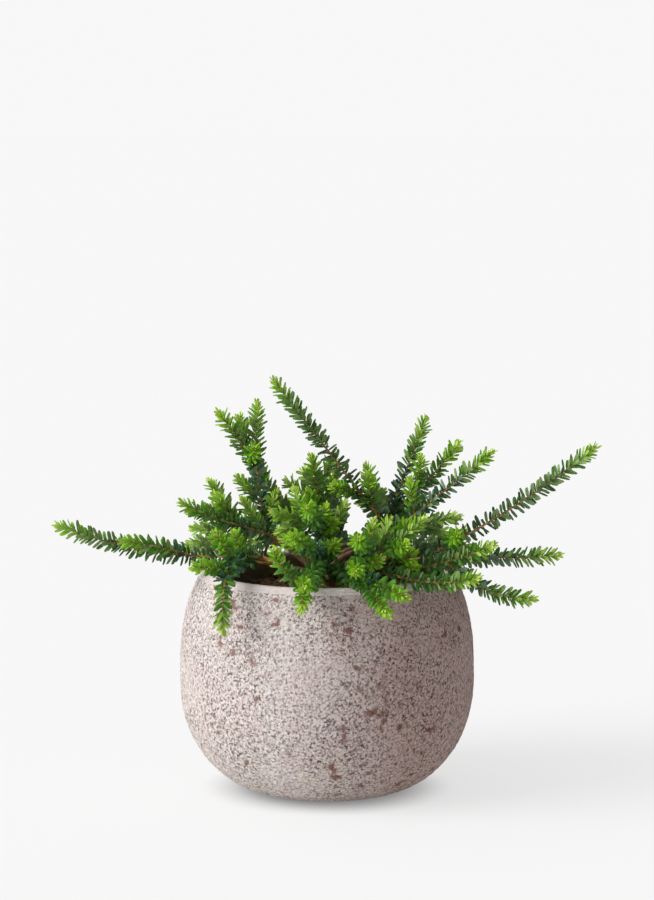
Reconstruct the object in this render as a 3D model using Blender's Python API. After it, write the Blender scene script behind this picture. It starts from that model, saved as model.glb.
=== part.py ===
# Woolly grevillea in a round stoneware pot, modelled at its real size.
# Frame: metres, +Z up. The origin is the centre of the pot's flat underside,
# -Y is the front of the pot and +X its right-hand side.
# Every length in the script is in millimetres, and the meshes are made in metres.

import math
import random

import bmesh
import bpy
import numpy as np
from mathutils import Matrix, Vector

SEED = 11
METRES = 0.001  # in a millimetre
GAP = 0.3  # clearance between neighbouring solids
TURNED_CREASE = 38.0  # a turned solid's edges sharper than this stay sharp, degrees
LIMB_CREASE = 50.0

# Pot: a ball-shaped stoneware bowl, turned about Z
POT_HEIGHT = 203.0
POT_RADIUS = 135.0  # at its widest
POT_BELLY_HEIGHT = 97.0  # height of the widest circle
POT_FOOT_RADIUS = 55.0  # flat underside
POT_RIM_RADIUS = 114.5
POT_BELLY_POWER = 1.95  # 2 is an ellipse from the foot to the belly
POT_SHOULDER_POWER = 3.1  # how late the shoulder draws in to the rim
POT_WALL = 8.0
POT_FLOOR = 12.0
POT_LIP = 1.2  # rounding of the rim's edges
POT_SIDES = 36
BELLY_TURNS = (9, 18, 28, 39, 51, 64, 77, 90)  # rings from the foot to the belly, degrees
SHOULDER_SHARES = (0.38, 0.64, 0.82, 0.93)  # rings from the belly to the rim
WALL_HEIGHTS = (28.0, 90.0, 140.0)  # rings of the inside
FLOOR_INSET = 22.0  # from the lowest ring of the inside to the edge of its floor
SLOPE_STEP = 0.5  # half the height over which the wall's slope is measured

# Filling of potting mix, level with the foot of the stem
SOIL_LEVEL = 178.0
SOIL_SIDES = 24
SOIL_CORNER = 2.0  # how much further the soil's lower edge is cut off than the pot's inside

# Main stem: short, flared at the soil, with a rounded woody crown that all boughs leave
STEM_FOOT_RADIUS = 13.5
STEM_WAIST_RADIUS = 9.5
STEM_WAIST_HEIGHT = 7.0  # above the foot
STEM_FLARE = (2.2, 2.5)  # how far in and how high the flare's first bend is
CROWN_TURNS = (-35, -10, 10, 30, 50, 70)  # rings of the crown, degrees above level
CROWN_RADIUS = 12.5
CROWN_HEIGHT = 197.0  # height of the crown's centre
STEM_SIDES = 16

# Boughs
BOUGH_ROOT_RADIUS = 2.5
BOUGH_TIP_RADIUS = 1.9
BOUGH_SIDES = 5
LIMB_STEPS = 6  # straight stretches from the crown of the stem to where the shoots part
BOUGH_STEPS = 3  # of these, the ones that are the bough's: the rest is the mass's own stem
LIMB_REACH = 0.42  # how far each end of a limb runs straight on, as a share of its length

# Leafy shoots
SHOOT_ROOT_RADIUS = 2.8
SHOOT_TIP_RADIUS = 1.7
SIDE_ROOT_RADIUS = 2.5
SHOOT_STEP = 24.0  # length of one straight stretch of a shoot
SHORT_TWIG_LENGTH = (24.0, 36.0)
SHORT_TWIG_ANGLE = (40.0, 62.0)  # away from the shoot that bears it, degrees
SHORT_TWIG_SHARES = (0.2,)  # where along a mass's stem they may grow
SHORT_TWIG_SHIFT = 0.05  # either way from its share
SHORT_TWIG_TRIES = 8
SHORT_TWIG_ROOM = 6.0  # how much nearer its own mass than any other a short twig stays
SHORT_TWIG_BOW = 0.05  # rise of its middle, as a share of its length
SHORT_TWIG_CHECKS = (0.5, 0.8, 1.0)  # where along it its room is tested
SHORT_TWIG_CROWD = 14.0  # between its end and the other shoots of its mass
TWIG_LIMB_ROOM = 8.0  # between a short twig and any bough
LEAF_LIMB_ROOM = 4.2  # between a leaf and any bough
POT_ROOM = 1.0  # between a leaf or twig and the pot, the soil and the stem
SAMPLE_STEP = 3.0  # between the points that stand for a limb when room is measured

# Leaves: narrow, pointing outwards and forwards all round the shoot
LEAF_LENGTH = 22.0
LEAF_WIDTH = 10.0
LEAF_THICKNESS = 2.0
LEAF_PITCH = 14.0  # length of shoot for each leaf
LEAF_TURN = 137.5  # degrees round the shoot from one leaf to the next
LEAF_ANGLE = (46.0, 36.0)  # away from the shoot, at its foot and near its tip, degrees
LEAF_WIDEST = 0.58  # where along a leaf it is widest
LEAF_SWING = (-5.0, 5.0)  # change of angle from leaf to leaf, degrees
LEAF_SIZES = (0.92, 1.04)  # of a leaf, as a share of its full length
FIRST_LEAF = 0.9 * LEAF_PITCH  # from the root of the shoot
MIDDLE_CHECKS = (0.4, 0.6, 0.8, 1.0)  # where along a leaf's middle its room is tested
TIP_LEAVES = 4
TWIG_TIP_LEAVES = 3  # on the short twigs
TIP_ANGLE = 30.0
TIP_SWING = (-5.0, 7.0)
TIP_LENGTH = 15.0
TIP_WIDTH = 6.6
TIP_INSET = 3.0  # the last leaf's root, back from the end of the shoot
TIP_PITCH = 3.0
ROOM = 1.1  # how much nearer its own mass than any other a leaf stays

# One entry for each mass of foliage. start: where its stem has come to the pot's mouth and
# its shoots part. tip: the end of its leader. bow: how far the leader's middle stands off
# the straight line from start to tip.
# root: where its bough leaves the crown of the main stem, in degrees round Z from +X and
# above level.
# sides: side shoots, each the share of the leader where it starts, its tip and its bow.
MASSES = {
    "far_left": dict(
        start=(-82, -30, 219), tip=(-242, -30, 247), bow=(0, 0, -9), root=(-168, 0),
        sides=[(0.25, (-182, -54, 236), (0, 0, 2))]),
    "left": dict(
        start=(-66, -8, 240), tip=(-130, -25, 266), bow=(0, 0, -2), root=(178, 28),
        sides=[(0.2, (-106, 10, 281), (0, 0, 0)), (0.3, (-122, 8, 239), (0, 0, -2))]),
    "tall_left": dict(
        start=(-56, 12, 238), tip=(-64, 15, 352), bow=(-4, 0, 0), root=(165, 56),
        sides=[(0.46, (-97, -5, 345), (4, 0, -3))]),
    "hanging_left": dict(
        start=(-79, -62, 219), tip=(-91, -125, 169), bow=(-4, -13, 16), root=(-140, 14),
        sides=[(0.35, (-115, -118, 223), (0, 0, 1)), (0.12, (-97, -105, 249), (0, 0, 0))]),
    "front_left": dict(
        start=(-4, -60, 215), tip=(-22, -150, 193), bow=(0, -3, 12), root=(-114, 0),
        sides=[(0.6, (-20, -172, 215), (0, 0, 0)), (0.7, (-45, -165, 244), (-4, 0, -3))]),
    "front": dict(
        start=(0, -62, 228), tip=(-30, -130, 252), bow=(0, 0, -3), root=(-106, 30),
        sides=[]),
    "centre": dict(
        start=(-5, -25, 240), tip=(-18, -118, 275), bow=(0, 0, 2), root=(-95, 60),
        sides=[(0.25, (-48, -52, 262), (0, 0, 0))]),
    "centre_up": dict(
        start=(-2, 24, 238), tip=(-14, 15, 303), bow=(0, 2, 0), root=(94, 84),
        sides=[
            (0.05, (-62, 40, 292), (-6, 0, -13)),
            (0.3, (-21, 60, 285), (0, 0, 2)),
            (0.15, (11, 78, 268), (0, 0, 2))]),
    "tall_centre": dict(
        start=(55, 8, 240), tip=(-48, 0, 375), bow=(0, 0, 0), root=(-12, 56),
        sides=[(0.08, (49, 56, 266), (0, 0, 2))]),
    "tall_right": dict(
        start=(54, 32, 238), tip=(91, 50, 334), bow=(0, 0, 0), root=(34, 56),
        sides=[(0.1, (120, 20, 315), (0, 0, -5))]),
    "right_up": dict(
        start=(68, -8, 244), tip=(148, -12, 310), bow=(0, 0, 0), root=(-14, 28),
        sides=[]),
    "far_right": dict(
        start=(94, 0, 216), tip=(246, 25, 311), bow=(0, 0, -6), root=(2, 0),
        sides=[(0.12, (116, -42, 240), (0, 0, 0))]),
    "right": dict(
        start=(88, 32, 212), tip=(212, 20, 212), bow=(0, 0, -3), root=(18, 26),
        sides=[(0.2, (128, 62, 228), (0, 0, 0))]),
    "right_front": dict(
        start=(74, -50, 210), tip=(146, -88, 237), bow=(0, -2, -2), root=(-46, 26),
        sides=[]),
    "right_low": dict(
        start=(115, -46, 209), tip=(183, -62, 185), bow=(0, 0, -7), root=(-29, -4),
        sides=[]),
    "front_right_low": dict(
        start=(62, -88, 210), tip=(130, -130, 215), bow=(0, -3, -4), root=(-59, -2),
        sides=[]),
    "front_mid": dict(
        start=(32, -72, 219), tip=(41, -85, 257), bow=(0, -3, 0), root=(-74, 27),
        sides=[
            (0.1, (85, -75, 259), (0, 0, -4)),
            (0.05, (24, -140, 223), (0, 0, 1)),
            (0.35, (26, -138, 250), (0, 0, 0))]),
    "front_right": dict(
        start=(12, -80, 213), tip=(51, -168, 191), bow=(0, -5, 8), root=(-86, -1),
        sides=[(0.42, (66, -172, 206), (0, 0, 2))]),
    "back_left_low": dict(
        start=(-72, 42, 214), tip=(-124, 128, 182), bow=(-6, 6, 14), root=(152, 0),
        sides=[(0.42, (-136, 88, 206), (0, 0, 4))]),
    "back_left": dict(
        start=(-46, 56, 222), tip=(-90, 150, 216), bow=(0, 0, 8), root=(130, 28),
        sides=[(0.35, (-98, 94, 236), (0, 0, 2))]),
    "back_mid_left": dict(
        start=(-24, 72, 216), tip=(-38, 198, 196), bow=(0, 4, 16), root=(115, -2),
        sides=[(0.45, (-66, 176, 226), (0, 0, 2))]),
    "back": dict(
        start=(4, 66, 224), tip=(14, 176, 228), bow=(0, 0, 6), root=(94, 28),
        sides=[(0.4, (-14, 148, 240), (0, 0, 0))]),
    "back_hanging": dict(
        start=(14, 84, 213), tip=(8, 166, 148), bow=(0, 18, 20), root=(82, -4),
        sides=[(0.5, (-26, 170, 182), (0, 0, 4))]),
    "back_mid_right": dict(
        start=(38, 66, 217), tip=(62, 190, 198), bow=(0, 4, 15), root=(62, 26),
        sides=[(0.45, (88, 164, 226), (0, 0, 2))]),
    "back_right": dict(
        start=(56, 56, 222), tip=(112, 140, 214), bow=(2, 2, 8), root=(80, 56),
        sides=[(0.4, (124, 100, 236), (0, 0, 2))]),
    "back_right_low": dict(
        start=(76, 52, 213), tip=(126, 126, 176), bow=(8, 8, 14), root=(40, -2),
        sides=[(0.45, (148, 96, 200), (0, 0, 4))]),
}

COLOURS = {  # base colour in linear RGB, roughness
    "pot": ((0.46, 0.40, 0.38), 0.9),
    "soil": ((0.045, 0.032, 0.022), 1.0),
    "bark": ((0.20, 0.11, 0.06), 0.85),
    "foliage": ((0.075, 0.17, 0.035), 0.6),
}


def clear_scene():
    for obj in list(bpy.data.objects):
        bpy.data.objects.remove(obj, do_unlink=True)


def material(name):
    made = bpy.data.materials.get(name)
    if made is None:
        made = bpy.data.materials.new(name)
        made.use_nodes = True
        shader = made.node_tree.nodes["Principled BSDF"]
        colour, roughness = COLOURS[name]
        shader.inputs["Base Color"].default_value = (*colour, 1.0)
        shader.inputs["Roughness"].default_value = roughness
        shader.inputs["Metallic"].default_value = 0.0
    return made


def add_object(name, mesh, finish, collection=None):
    mesh.materials.append(material(finish))
    obj = bpy.data.objects.new(name, mesh)
    (collection or bpy.context.scene.collection).objects.link(obj)
    return obj


def mesh_from(name, points_mm, faces):
    mesh = bpy.data.meshes.new(name)
    mesh.from_pydata([tuple(METRES * c for c in p) for p in points_mm], [], faces)
    mesh.update()
    return mesh


# Turned solids: the profile runs from the axis at the bottom, up the outside, to the axis

def turned(name, profile, sides, finish):
    bm = bmesh.new()
    chain = [bm.verts.new((METRES * r, 0.0, METRES * z)) for r, z in profile]
    edges = [bm.edges.new(pair) for pair in zip(chain, chain[1:])]
    bmesh.ops.spin(
        bm, geom=chain + edges, cent=(0, 0, 0), axis=(0, 0, 1),
        angle=2 * math.pi, steps=sides, use_merge=True)
    bmesh.ops.remove_doubles(bm, verts=bm.verts, dist=1e-6)
    bmesh.ops.recalc_face_normals(bm, faces=bm.faces)
    mesh = bpy.data.meshes.new(name)
    bm.to_mesh(mesh)
    bm.free()
    mesh.shade_smooth()
    mesh.set_sharp_from_angle(angle=math.radians(TURNED_CREASE))
    return add_object(name, mesh, finish)


def pot_radius(z):
    # Outer radius of the pot at a height, mm
    if z < POT_BELLY_HEIGHT:
        down = 1 - max(z, 0.0) / POT_BELLY_HEIGHT
        grown = (1 - down ** POT_BELLY_POWER) ** (1 / POT_BELLY_POWER)
        return POT_FOOT_RADIUS + (POT_RADIUS - POT_FOOT_RADIUS) * grown
    up = (z - POT_BELLY_HEIGHT) / (POT_HEIGHT - POT_BELLY_HEIGHT)
    return POT_RADIUS - (POT_RADIUS - POT_RIM_RADIUS) * up ** POT_SHOULDER_POWER


def wall_radius(z):
    # Inner radius of the pot at a height: the outside, one wall further in
    rise = pot_radius(z + SLOPE_STEP) - pot_radius(z - SLOPE_STEP)
    slope = min(abs(rise / (2 * SLOPE_STEP)), 1.0)
    return pot_radius(z) - POT_WALL * math.sqrt(1 + slope ** 2)


def make_pot():
    belly = [POT_BELLY_HEIGHT * (1 - math.cos(math.radians(a))) for a in BELLY_TURNS]
    shoulder = [
        POT_BELLY_HEIGHT + (POT_HEIGHT - POT_BELLY_HEIGHT) * up for up in SHOULDER_SHARES]
    outside = [(pot_radius(z), z) for z in belly + shoulder]
    rim_inner = POT_RIM_RADIUS - POT_WALL
    lip = [
        (pot_radius(POT_HEIGHT - POT_LIP), POT_HEIGHT - POT_LIP),
        (POT_RIM_RADIUS - POT_LIP, POT_HEIGHT),
        (rim_inner + POT_LIP, POT_HEIGHT),
        (rim_inner, POT_HEIGHT - POT_LIP)]
    inside = [(wall_radius(z), z) for z in reversed(WALL_HEIGHTS + (SOIL_LEVEL,))]
    floor = [(wall_radius(WALL_HEIGHTS[0]) - FLOOR_INSET, POT_FLOOR), (0.0, POT_FLOOR)]
    profile = [(0.0, 0.0), (POT_FOOT_RADIUS, 0.0)] + outside + lip + inside + floor
    return turned("pot", profile, POT_SIDES, "pot")


def make_soil():
    # The polygon of the soil is kept inside the pot's flat-sided inner wall
    shrink = math.cos(math.pi / POT_SIDES)
    clear = 2.0 * GAP

    def fitted(z):
        return wall_radius(z) * shrink - clear

    low = WALL_HEIGHTS[0]
    bottom = POT_FLOOR + GAP
    profile = [(0.0, bottom), (fitted(low) - FLOOR_INSET - SOIL_CORNER, bottom)]
    profile += [(fitted(low), low + clear)]
    profile += [(fitted(z), z) for z in WALL_HEIGHTS[1:] + (SOIL_LEVEL,)]
    profile += [(0.0, SOIL_LEVEL)]
    return turned("soil", profile, SOIL_SIDES, "soil")


def make_stem():
    foot = SOIL_LEVEL + GAP
    inwards, upwards = STEM_FLARE
    profile = [(0.0, foot), (STEM_FOOT_RADIUS, foot)]
    profile += [(STEM_FOOT_RADIUS - inwards, foot + upwards)]
    profile += [(STEM_WAIST_RADIUS, foot + STEM_WAIST_HEIGHT)]
    for angle in CROWN_TURNS:
        a = math.radians(angle)
        profile.append((CROWN_RADIUS * math.cos(a), CROWN_HEIGHT + CROWN_RADIUS * math.sin(a)))
    profile += [(0.0, CROWN_HEIGHT + CROWN_RADIUS)]
    return turned("main_stem", profile, STEM_SIDES, "bark")


# Limbs

def bowed(start, end, bow, count):
    # Points from start to end whose middle stands off the straight line by bow
    points = []
    for i in range(count + 1):
        t = i / count
        points.append(start.lerp(end, t) + bow * (4 * t * (1 - t)))
    return points


def heading(points, i):
    before = points[max(i - 1, 0)]
    after = points[min(i + 1, len(points) - 1)]
    return (after - before).normalized()


def across(direction):
    # Any unit vector square to a direction, steady along a nearly straight limb
    aid = Vector((0, 0, 1)) if abs(direction.z) < 0.8 else Vector((1, 0, 0))
    return direction.cross(aid).normalized()


def tube(name, points, radii, sides, start_way=None, end_way=None):
    # A closed limb through points, with flat ends square to start_way and end_way
    rings = []
    side = None
    for i, (point, radius) in enumerate(zip(points, radii)):
        way = heading(points, i)
        if i == 0 and start_way is not None:
            way = start_way
        if i == len(points) - 1 and end_way is not None:
            way = end_way
        if side is None:
            side = across(way)
        side = (side - way * side.dot(way)).normalized()
        other = way.cross(side)
        for k in range(sides):
            a = 2 * math.pi * k / sides
            rings.append(point + (side * math.cos(a) + other * math.sin(a)) * radius)
    faces = [tuple(reversed(range(sides)))]
    for i in range(len(points) - 1):
        for k in range(sides):
            a = i * sides + k
            b = i * sides + (k + 1) % sides
            faces.append((a, b, b + sides, a + sides))
    last = (len(points) - 1) * sides
    faces.append(tuple(range(last, last + sides)))
    return mesh_from(name, rings, faces)


def tapered(start_radius, end_radius, count):
    return [start_radius + (end_radius - start_radius) * i / count for i in range(count + 1)]


def limb_points(out, to, way):
    # From the crown of the main stem, leaving it along out, to arrive at to along way
    start = Vector((0, 0, CROWN_HEIGHT)) + out * (CROWN_RADIUS + GAP)
    reach = (to - start).length * LIMB_REACH
    controls = (start, start + out * reach, to - way * reach, to)
    points = []
    for i in range(LIMB_STEPS + 1):
        t = i / LIMB_STEPS
        weights = ((1 - t) ** 3, 3 * t * (1 - t) ** 2, 3 * t * t * (1 - t), t ** 3)
        points.append(sum((c * w for c, w in zip(controls, weights)), Vector()))
    return points


def shoot(points, root_radius, tip_leaves=TIP_LEAVES):
    return dict(
        points=points, root=root_radius, tip=SHOOT_TIP_RADIUS, tip_leaves=tip_leaves,
        length=sum((b - a).length for a, b in zip(points, points[1:])))


def arch(start, end, bow):
    return bowed(start, end, bow, max(2, round((end - start).length / SHOOT_STEP)))


def at_share(points, share):
    # The point at a share of a limb's length, and the way the limb runs there
    spans = [(b - a).length for a, b in zip(points, points[1:])]
    left = share * sum(spans)
    i = 0
    while i < len(spans) - 1 and left > spans[i]:
        left -= spans[i]
        i += 1
    return points[i].lerp(points[i + 1], left / spans[i]), (points[i + 1] - points[i]).normalized()


def grow_limbs(mass):
    # The bough, the mass's stem that goes on from it 0.3 mm clear, and the named side shoots
    start, tip, bow = (Vector(mass[key]) for key in ("start", "tip", "bow"))
    outer = arch(start, tip, bow)
    turn, rise = (math.radians(a) for a in mass["root"])
    out = Vector((math.cos(turn) * math.cos(rise), math.sin(turn) * math.cos(rise), math.sin(rise)))
    limb = limb_points(out, start, (outer[1] - outer[0]).normalized())
    way = heading(limb, BOUGH_STEPS)
    bough = limb[:BOUGH_STEPS] + [limb[BOUGH_STEPS] - way * GAP]
    mass["bough"] = (bough, out, way)
    inner = limb[BOUGH_STEPS:-1]
    leader = shoot(inner + outer, SHOOT_ROOT_RADIUS)
    mass["leader"] = leader
    mass["way"] = way
    mass["shoots"] = [leader]
    for share, side_tip, side_bow in mass["sides"]:
        root = at_share(outer, share)[0]
        side = arch(root, Vector(side_tip), Vector(side_bow))
        mass["shoots"].append(shoot(side, SIDE_ROOT_RADIUS))


def sampled(points):
    # Points every few millimetres along a limb
    out = []
    for a, b in zip(points, points[1:]):
        count = max(1, int((b - a).length / SAMPLE_STEP))
        out += [tuple(a.lerp(b, i / count)) for i in range(count)]
    out.append(tuple(points[-1]))
    return np.array(out)


def distance(points, cloud):
    # Distance from each point to the nearest point of a cloud
    gaps = np.array(points)[:, None, :] - cloud[None, :, :]
    return np.sqrt((gaps ** 2).sum(axis=2)).min(axis=1)


class Spaces:
    # The space of each mass: all that lies nearer its own shoots than any other mass's,
    # clear of the limbs, the pot and the soil

    def __init__(self, masses):
        self.masses = masses
        self.boughs = np.concatenate([sampled(m["bough"][0]) for m in masses.values()])
        self.refresh()

    def refresh(self):
        self.own = {
            name: np.concatenate([sampled(s["points"]) for s in mass["shoots"]])
            for name, mass in self.masses.items()}

    def allows(self, name, points, room, limb_room):
        own = distance(points, self.own[name])
        others = np.concatenate([c for other, c in self.own.items() if other != name])
        if (distance(points, others) < own + room).any():
            return False
        if (distance(points, self.boughs) < limb_room).any():
            return False
        return all(self.clear_of_pot(p) for p in points)

    @staticmethod
    def clear_of_pot(point):
        r = math.hypot(point[0], point[1])
        z = point[2]
        if z > POT_HEIGHT + POT_ROOM:
            return True
        if r > pot_radius(z) + POT_ROOM:
            return True
        inside = r < wall_radius(z) - POT_ROOM and z > SOIL_LEVEL + POT_ROOM
        crown = math.hypot(r, z - CROWN_HEIGHT) > CROWN_RADIUS + 2 * POT_ROOM
        return inside and crown


def short_twigs(name, mass, spaces, rng):
    # Short side twigs low on the mass's stem, by golden-angle turns, where there is room
    turn = rng.uniform(0, 360)
    for low in SHORT_TWIG_SHARES:
        share = low + rng.uniform(-SHORT_TWIG_SHIFT, SHORT_TWIG_SHIFT)
        root, way = at_share(mass["leader"]["points"], share)
        for _ in range(SHORT_TWIG_TRIES):
            turn += LEAF_TURN
            angle = math.radians(rng.uniform(*SHORT_TWIG_ANGLE))
            length = rng.uniform(*SHORT_TWIG_LENGTH)
            outward = Matrix.Rotation(math.radians(turn), 3, way) @ across(way)
            direction = way * math.cos(angle) + outward * math.sin(angle)
            end = root + direction * length
            clear = [tuple(root.lerp(end, t)) for t in SHORT_TWIG_CHECKS]
            crowd = min(
                distance([tuple(end)], sampled(s["points"]))[0] for s in mass["shoots"])
            free = spaces.allows(name, clear, SHORT_TWIG_ROOM, TWIG_LIMB_ROOM)
            if crowd > SHORT_TWIG_CROWD and free:
                twig = arch(root, end, Vector((0, 0, SHORT_TWIG_BOW * length)))
                mass["shoots"].append(shoot(twig, SIDE_ROOT_RADIUS, TWIG_TIP_LEAVES))
                break


# Leaves

def leaf_points(root, direction, face, length, width):
    # Root, tip, the two edges and the raised and hollow sides of one leaf
    side = direction.cross(face).normalized()
    middle = root + direction * (length * LEAF_WIDEST)
    half = side * (width / 2)
    depth = face * (LEAF_THICKNESS / 2)
    return [root, root + direction * length, middle + half, middle - half,
            middle + depth, middle - depth]


LEAF_FACES = [
    (0, 4, 2), (0, 3, 4), (0, 2, 5), (0, 5, 3), (1, 2, 4), (1, 4, 3), (1, 5, 2), (1, 3, 5)]


def leaf_checks(points):
    # The points of a leaf that have to be in its mass's space
    root, tip, left, right = points[:4]
    middle = [root.lerp(tip, share) for share in MIDDLE_CHECKS]
    edges = [left, right, left.lerp(tip, 0.5), right.lerp(tip, 0.5)]
    return [tuple(p) for p in middle + edges]


def leaves_on(name, branch, spaces, rng):
    # Leaves in a steady spiral up one shoot, and a tuft of smaller ones at its tip
    found = []
    turn = rng.uniform(0, 360)
    count = max(1, int((branch["length"] - FIRST_LEAF) / LEAF_PITCH) + 1)
    spots = []
    for i in range(count):
        along = (FIRST_LEAF + i * LEAF_PITCH) / branch["length"]
        if (1 - along) * branch["length"] > TIP_INSET + branch["tip_leaves"] * TIP_PITCH:
            spread = LEAF_ANGLE[0] + (LEAF_ANGLE[1] - LEAF_ANGLE[0]) * along
            spots.append((along, spread + rng.uniform(*LEAF_SWING), LEAF_LENGTH, LEAF_WIDTH))
    for i in range(branch["tip_leaves"]):
        along = 1 - (TIP_INSET + i * TIP_PITCH) / branch["length"]
        spots.append((along, TIP_ANGLE + rng.uniform(*TIP_SWING), TIP_LENGTH, TIP_WIDTH))
    for along, spread, length, width in spots:
        turn += LEAF_TURN
        root, way = at_share(branch["points"], along)
        outward = Matrix.Rotation(math.radians(turn), 3, way) @ across(way)
        angle = math.radians(spread)
        direction = way * math.cos(angle) + outward * math.sin(angle)
        face = outward * math.cos(angle) - way * math.sin(angle)
        length *= rng.uniform(*LEAF_SIZES)
        points = leaf_points(root, direction, face, length, width)
        if spaces.allows(name, leaf_checks(points), ROOM, LEAF_LIMB_ROOM):
            found.append(points)
    return found


# Joining a mass into one closed solid

def keep_largest_body(mesh):
    # Drops loose scraps, and fills sealed hollows by dropping their inner skins
    bm = bmesh.new()
    bm.from_mesh(mesh)
    bm.faces.ensure_lookup_table()
    seen = set()
    bodies = []
    for face in bm.faces:
        if face in seen:
            continue
        body = []
        stack = [face]
        seen.add(face)
        while stack:
            here = stack.pop()
            body.append(here)
            for edge in here.edges:
                for there in edge.link_faces:
                    if there not in seen:
                        seen.add(there)
                        stack.append(there)
        bodies.append(body)
    bodies.sort(key=len)
    for body in bodies[:-1]:
        bmesh.ops.delete(bm, geom=body, context="FACES")
    bmesh.ops.triangulate(bm, faces=bm.faces)
    bm.to_mesh(mesh)
    bm.free()


def make_mass(name, mass, leaves):
    leader = mass["leader"]
    count = len(leader["points"]) - 1
    radii = tapered(leader["root"], leader["tip"], count)
    mesh = tube(name, leader["points"], radii, 3, start_way=mass["way"])
    whole = add_object(name, mesh, "foliage")
    parts = bpy.data.collections.new(name + "_parts")
    bpy.context.scene.collection.children.link(parts)
    for branch in mass["shoots"][1:]:
        radii = tapered(branch["root"], branch["tip"], len(branch["points"]) - 1)
        add_object("twig", tube("twig", branch["points"], radii, 3), "foliage", parts)
    for points in leaves:
        add_object("leaf", mesh_from("leaf", points, LEAF_FACES), "foliage", parts)
    union = whole.modifiers.new("join", "BOOLEAN")
    union.operation = "UNION"
    union.operand_type = "COLLECTION"
    union.collection = parts
    union.solver = "EXACT"
    bpy.context.view_layer.update()
    graph = bpy.context.evaluated_depsgraph_get()
    joined = bpy.data.meshes.new_from_object(whole.evaluated_get(graph))
    whole.modifiers.clear()
    whole.data = joined
    for obj in list(parts.objects):
        bpy.data.objects.remove(obj, do_unlink=True)
    bpy.data.collections.remove(parts)
    keep_largest_body(joined)
    joined.materials.clear()
    joined.materials.append(material("foliage"))
    return whole


def make_bough(name, mass):
    points, out, way = mass["bough"]
    radii = tapered(BOUGH_ROOT_RADIUS, BOUGH_TIP_RADIUS, BOUGH_STEPS)
    mesh = tube(name, points, radii, BOUGH_SIDES, start_way=out, end_way=way)
    obj = add_object(name, mesh, "bark")
    mesh.shade_smooth()
    mesh.set_sharp_from_angle(angle=math.radians(LIMB_CREASE))
    return obj


def main():
    clear_scene()
    rng = random.Random(SEED)
    make_pot()
    make_soil()
    make_stem()
    for mass in MASSES.values():
        grow_limbs(mass)
    spaces = Spaces(MASSES)
    for name, mass in MASSES.items():
        short_twigs(name, mass, spaces, rng)
    spaces.refresh()
    total = 0
    for name, mass in MASSES.items():
        make_bough(name + "_bough", mass)
        leaves = [
            leaf for branch in mass["shoots"] for leaf in leaves_on(name, branch, spaces, rng)]
        total += len(leaves)
        make_mass(name + "_foliage", mass, leaves)
    print("leaves:", total)


main()
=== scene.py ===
# Potted woolly grevillea: its looks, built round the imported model.
# Metres, +Z up. The pot's flat underside is at the origin and -Y is the front.
# The plant's tables are in millimetres and degrees, as a grower would measure it.

import math
import random

import bpy
import numpy as np
from mathutils import Matrix, Vector
from mathutils.kdtree import KDTree


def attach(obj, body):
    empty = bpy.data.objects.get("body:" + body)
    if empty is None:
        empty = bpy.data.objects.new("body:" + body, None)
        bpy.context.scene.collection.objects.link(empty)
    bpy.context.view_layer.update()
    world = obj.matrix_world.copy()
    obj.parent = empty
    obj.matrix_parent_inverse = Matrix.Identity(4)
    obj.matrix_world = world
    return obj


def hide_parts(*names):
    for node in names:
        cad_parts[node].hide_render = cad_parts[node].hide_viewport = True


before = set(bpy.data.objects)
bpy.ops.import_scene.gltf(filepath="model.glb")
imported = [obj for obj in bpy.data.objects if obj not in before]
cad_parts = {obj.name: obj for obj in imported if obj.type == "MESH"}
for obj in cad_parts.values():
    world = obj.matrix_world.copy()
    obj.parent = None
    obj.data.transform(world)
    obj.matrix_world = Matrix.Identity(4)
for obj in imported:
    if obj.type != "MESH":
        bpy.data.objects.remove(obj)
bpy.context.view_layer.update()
mm = 0.001
goldenTurn = 137.5
rng = random.Random(23)


# Small helpers

def deselectAll():
    if bpy.context.mode != "OBJECT":
        bpy.ops.object.mode_set(mode="OBJECT")
    bpy.ops.object.select_all(action="DESELECT")


def pick(piece):
    deselectAll()
    piece.select_set(True)
    bpy.context.view_layer.objects.active = piece


def applyAll(piece):
    pick(piece)
    for name in [modifier.name for modifier in piece.modifiers]:
        bpy.ops.object.modifier_apply(modifier=name)
    bpy.ops.object.transform_apply(location=True, rotation=True, scale=True)


def shadeByAngle(piece, degrees):
    pick(piece)
    bpy.ops.object.shade_smooth_by_angle(angle=math.radians(degrees))


def turnedPiece(name, profile, sides):
    # a disc at the first radius and height, drawn on ring by ring; the ends stay closed
    deselectAll()
    radius, height = profile[0]
    bpy.ops.mesh.primitive_circle_add(
        vertices=sides, radius=radius * mm, fill_type="NGON", location=(0, 0, height * mm))
    piece = bpy.context.active_object
    piece.name = piece.data.name = name
    bpy.ops.object.mode_set(mode="EDIT")
    bpy.ops.mesh.select_all(action="SELECT")
    for nextRadius, nextHeight in profile[1:]:
        rise = (nextHeight - height) * mm
        bpy.ops.mesh.extrude_region_move(TRANSFORM_OT_translate={"value": (0, 0, rise)})
        grow = nextRadius / radius
        bpy.ops.transform.resize(
            value=(grow, grow, 1), center_override=(0, 0, nextHeight * mm))
        radius, height = nextRadius, nextHeight
    bpy.ops.mesh.select_all(action="SELECT")
    bpy.ops.mesh.normals_make_consistent(inside=False)
    bpy.ops.object.mode_set(mode="OBJECT")
    return piece


def smoothOut(piece, levels):
    modifier = piece.modifiers.new("rounding", "SUBSURF")
    modifier.levels = modifier.render_levels = levels


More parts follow.
